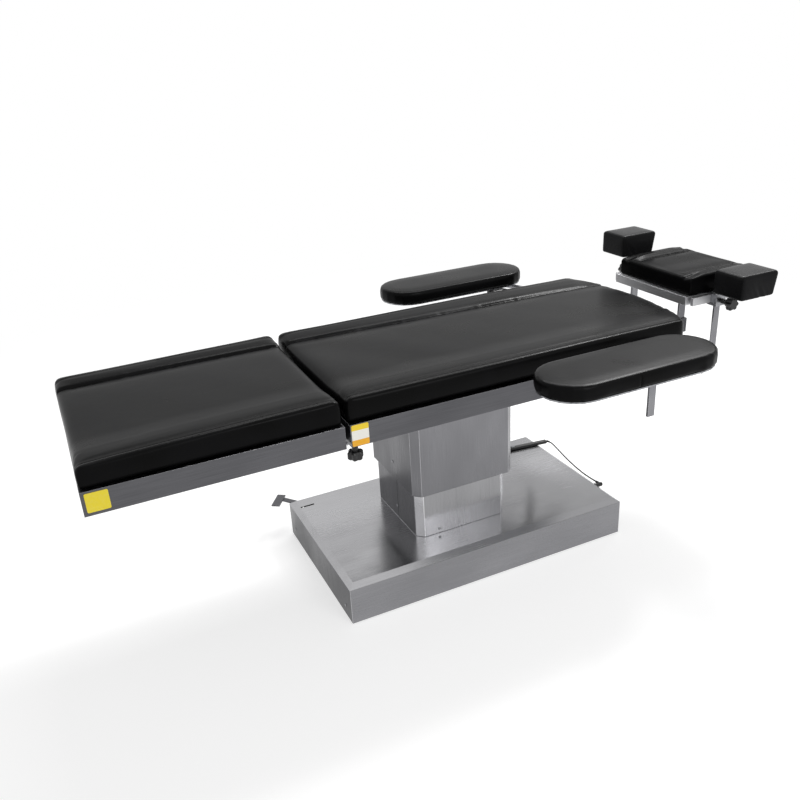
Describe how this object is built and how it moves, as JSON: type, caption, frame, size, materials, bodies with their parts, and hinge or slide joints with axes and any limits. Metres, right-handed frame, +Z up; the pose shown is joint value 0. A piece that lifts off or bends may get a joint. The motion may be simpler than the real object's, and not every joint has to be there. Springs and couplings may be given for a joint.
{
  "type": "operating table",
  "caption": "Electric operating table with a telescopic column, tilting top, folding leg section, raised head section, wrist rests and armrests.",
  "frame": {"origin": "middle of the table's length and width, at floor level", "axes": "+X from the foot end to the head end, +Y across to the far side, +Z up"},
  "size_m": [2.044, 1.108, 0.8],
  "materials": {
    "stainless": "brushed stainless sheet",
    "frame_steel": "dark satin coat",
    "zinc_steel": "bright zinc plated",
    "leatherette": "matte black leatherette",
    "black_plastic": "satin moulded plastic",
    "key_plastic": "grey keys",
    "rubber": "black rubber"
  },
  "bodies": {
    "base": {"base_skirt": "stainless", "base_top": "stainless", "chassis": "frame_steel", "foot_near_left": "rubber", "foot_near_right": "rubber", "foot_far_right": "rubber", "foot_far_left": "rubber", "column_cover": "stainless", "guide_tube": "frame_steel", "lift_motor": "zinc_steel", "hand_control": "black_plastic", "control_cord": "rubber", "cord_plug": "black_plastic"},
    "castor_carrier": {"castor_carrier": "frame_steel"},
    "brake_pedal": {"brake_pedal": "frame_steel"},
    "lift": {"lift_tube": "frame_steel", "lift_spindle": "zinc_steel", "column_sleeve": "stainless"},
    "tilt_cross": {"tilt_cross": "zinc_steel"},
    "seat": {"seat_frame": "stainless", "seat_cushion": "leatherette", "arm_clamp_near": "frame_steel", "arm_clamp_far": "frame_steel"},
    "leg": {"leg_frame": "stainless", "leg_cushion": "leatherette", "knee_rod": "zinc_steel"},
    "head_arms": {"head_arms": "stainless", "head_pivot_rod": "zinc_steel"},
    "head": {"head_frame": "stainless", "head_cushion": "leatherette"},
    "castor_fork_left_near": {"castor_fork_left_near": "zinc_steel"},
    "castor_wheel_left_near": {"castor_wheel_left_near": "rubber"},
    "castor_fork_left_far": {"castor_fork_left_far": "zinc_steel"},
    "castor_wheel_left_far": {"castor_wheel_left_far": "rubber"},
    "castor_fork_right_near": {"castor_fork_right_near": "zinc_steel"},
    "castor_wheel_right_near": {"castor_wheel_right_near": "rubber"},
    "castor_fork_right_far": {"castor_fork_right_far": "zinc_steel"},
    "castor_wheel_right_far": {"castor_wheel_right_far": "rubber"},
    "wrist_clamp_near": {"wrist_clamp_near": "zinc_steel"},
    "wrist_knob_near": {"wrist_knob_near": "black_plastic"},
    "wrist_post_near": {"wrist_post_near": "stainless", "wrist_cushion_near": "leatherette"},
    "knee_knob_near": {"knee_knob_near": "black_plastic"},
    "arm_post_near": {"arm_post_near": "stainless"},
    "arm_lever_near": {"arm_lever_near": "black_plastic"},
    "armrest_near": {"arm_board_near": "zinc_steel", "arm_pad_near": "leatherette"},
    "wrist_clamp_far": {"wrist_clamp_far": "zinc_steel"},
    "wrist_knob_far": {"wrist_knob_far": "black_plastic"},
    "wrist_post_far": {"wrist_post_far": "stainless", "wrist_cushion_far": "leatherette"},
    "knee_knob_far": {"knee_knob_far": "black_plastic"},
    "arm_post_far": {"arm_post_far": "stainless"},
    "arm_lever_far": {"arm_lever_far": "black_plastic"},
    "armrest_far": {"arm_board_far": "zinc_steel", "arm_pad_far": "leatherette"},
    "key_up": {"key_up": "key_plastic"},
    "key_down": {"key_down": "key_plastic"},
    "key_tilt_head": {"key_tilt_head": "key_plastic"},
    "key_tilt_foot": {"key_tilt_foot": "key_plastic"}
  },
  "joints": [
    {"name": "lift", "type": "slide", "parent": "base", "child": "lift", "axis": [0, 0, 1], "range_m": [-0.05, 0.2]},
    {"name": "tilt_head_foot", "type": "hinge", "parent": "lift", "child": "tilt_cross", "pos_m": [-0.0205, 0, 0.573], "axis": [0, 1, 0], "range_deg": [-15, 15]},
    {"name": "tilt_side", "type": "hinge", "parent": "tilt_cross", "child": "seat", "pos_m": [-0.0205, 0, 0.573], "axis": [1, 0, 0], "range_deg": [-15, 15]},
    {"name": "knee", "type": "hinge", "parent": "seat", "child": "leg", "pos_m": [-0.4075, 0, 0.557], "axis": [0, -1, 0], "range_deg": [0, 60]},
    {"name": "head_height", "type": "slide", "parent": "seat", "child": "head_arms", "axis": [0, 0, 1], "range_m": [-0.03, 0.06]},
    {"name": "head_tilt", "type": "hinge", "parent": "head_arms", "child": "head", "pos_m": [0.79, 0, 0.668], "axis": [0, 1, 0], "range_deg": [-20, 20]},
    {"name": "brake_pedal", "type": "hinge", "parent": "base", "child": "brake_pedal", "pos_m": [-0.379, 0.105, 0.09], "axis": [-1, 0, 0], "range_deg": [0, 5]},
    {"name": "castor_lower", "type": "slide", "parent": "base", "child": "castor_carrier", "axis": [0, 0, -1], "range_m": [0, 0.0054]},
    {"name": "castor_swivel_left_near", "type": "hinge", "parent": "castor_carrier", "child": "castor_fork_left_near", "pos_m": [-0.303, -0.165, 0.0672], "axis": [0, 0, 1], "continuous": true},
    {"name": "castor_roll_left_near", "type": "hinge", "parent": "castor_fork_left_near", "child": "castor_wheel_left_near", "pos_m": [-0.288, -0.165, 0.027], "axis": [0, 1, 0], "continuous": true},
    {"name": "castor_swivel_left_far", "type": "hinge", "parent": "castor_carrier", "child": "castor_fork_left_far", "pos_m": [-0.303, 0.165, 0.0672], "axis": [0, 0, 1], "continuous": true},
    {"name": "castor_roll_left_far", "type": "hinge", "parent": "castor_fork_left_far", "child": "castor_wheel_left_far", "pos_m": [-0.288, 0.165, 0.027], "axis": [0, 1, 0], "continuous": true},
    {"name": "castor_swivel_right_near", "type": "hinge", "parent": "castor_carrier", "child": "castor_fork_right_near", "pos_m": [0.341, -0.165, 0.0672], "axis": [0, 0, 1], "continuous": true},
    {"name": "castor_roll_right_near", "type": "hinge", "parent": "castor_fork_right_near", "child": "castor_wheel_right_near", "pos_m": [0.356, -0.165, 0.027], "axis": [0, 1, 0], "continuous": true},
    {"name": "castor_swivel_right_far", "type": "hinge", "parent": "castor_carrier", "child": "castor_fork_right_far", "pos_m": [0.341, 0.165, 0.0672], "axis": [0, 0, 1], "continuous": true},
    {"name": "castor_roll_right_far", "type": "hinge", "parent": "castor_fork_right_far", "child": "castor_wheel_right_far", "pos_m": [0.356, 0.165, 0.027], "axis": [0, 1, 0], "continuous": true},
    {"name": "wrist_clamp_near", "type": "slide", "parent": "head", "child": "wrist_clamp_near", "axis": [1, 0, 0], "range_m": [-0.04, 0.048]},
    {"name": "wrist_height_near", "type": "slide", "parent": "wrist_clamp_near", "child": "wrist_post_near", "axis": [0, 0, 1], "range_m": [0, 0.08]},
    {"name": "wrist_knob_near", "type": "hinge", "parent": "wrist_clamp_near", "child": "wrist_knob_near", "pos_m": [0.855, -0.233, 0.674], "axis": [0, -1, 0], "range_deg": [0, 360]},
    {"name": "knee_knob_near", "type": "hinge", "parent": "seat", "child": "knee_knob_near", "pos_m": [-0.3885, -0.2755, 0.534], "axis": [0, 0, 1], "range_deg": [0, 360]},
    {"name": "armrest_height_near", "type": "slide", "parent": "seat", "child": "arm_post_near", "axis": [0, 0, 1], "range_m": [-0.03, 0.08]},
    {"name": "armrest_swivel_near", "type": "hinge", "parent": "arm_post_near", "child": "armrest_near", "pos_m": [0.444, -0.4595, 0.6477], "axis": [0, 0, 1], "range_deg": [0, 90]},
    {"name": "arm_lever_near", "type": "hinge", "parent": "armrest_near", "child": "arm_lever_near", "pos_m": [0.444, -0.4595, 0.614], "axis": [0, 0, 1], "range_deg": [-30, 30]},
    {"name": "wrist_clamp_far", "type": "slide", "parent": "head", "child": "wrist_clamp_far", "axis": [1, 0, 0], "range_m": [-0.04, 0.048]},
    {"name": "wrist_height_far", "type": "slide", "parent": "wrist_clamp_far", "child": "wrist_post_far", "axis": [0, 0, 1], "range_m": [-0.022, 0.058]},
    {"name": "wrist_knob_far", "type": "hinge", "parent": "wrist_clamp_far", "child": "wrist_knob_far", "pos_m": [0.855, 0.233, 0.674], "axis": [0, 1, 0], "range_deg": [0, 360]},
    {"name": "knee_knob_far", "type": "hinge", "parent": "seat", "child": "knee_knob_far", "pos_m": [-0.3885, 0.2755, 0.534], "axis": [0, 0, 1], "range_deg": [0, 360]},
    {"name": "armrest_height_far", "type": "slide", "parent": "seat", "child": "arm_post_far", "axis": [0, 0, 1], "range_m": [-0.03, 0.08]},
    {"name": "armrest_swivel_far", "type": "hinge", "parent": "arm_post_far", "child": "armrest_far", "pos_m": [0.444, 0.4595, 0.6477], "axis": [0, 0, -1], "range_deg": [0, 90]},
    {"name": "arm_lever_far", "type": "hinge", "parent": "armrest_far", "child": "arm_lever_far", "pos_m": [0.444, 0.4595, 0.614], "axis": [0, 0, 1], "range_deg": [-30, 30]},
    {"name": "key_up", "type": "slide", "parent": "base", "child": "key_up", "axis": [0, 0, -1], "range_m": [0, 0.0012], "stiffness_N_per_m": 900, "springref_m": -0.0008},
    {"name": "key_down", "type": "slide", "parent": "base", "child": "key_down", "axis": [0, 0, -1], "range_m": [0, 0.0012], "stiffness_N_per_m": 900, "springref_m": -0.0008},
    {"name": "key_tilt_head", "type": "slide", "parent": "base", "child": "key_tilt_head", "axis": [0, 0, -1], "range_m": [0, 0.0012], "stiffness_N_per_m": 900, "springref_m": -0.0008},
    {"name": "key_tilt_foot", "type": "slide", "parent": "base", "child": "key_tilt_foot", "axis": [0, 0, -1], "range_m": [0, 0.0012], "stiffness_N_per_m": 900, "springref_m": -0.0008}
  ],
  "couplings": [
    {"joint": "brake_pedal", "follows": "castor_lower", "rad_per_m": 16.12}
  ]
}
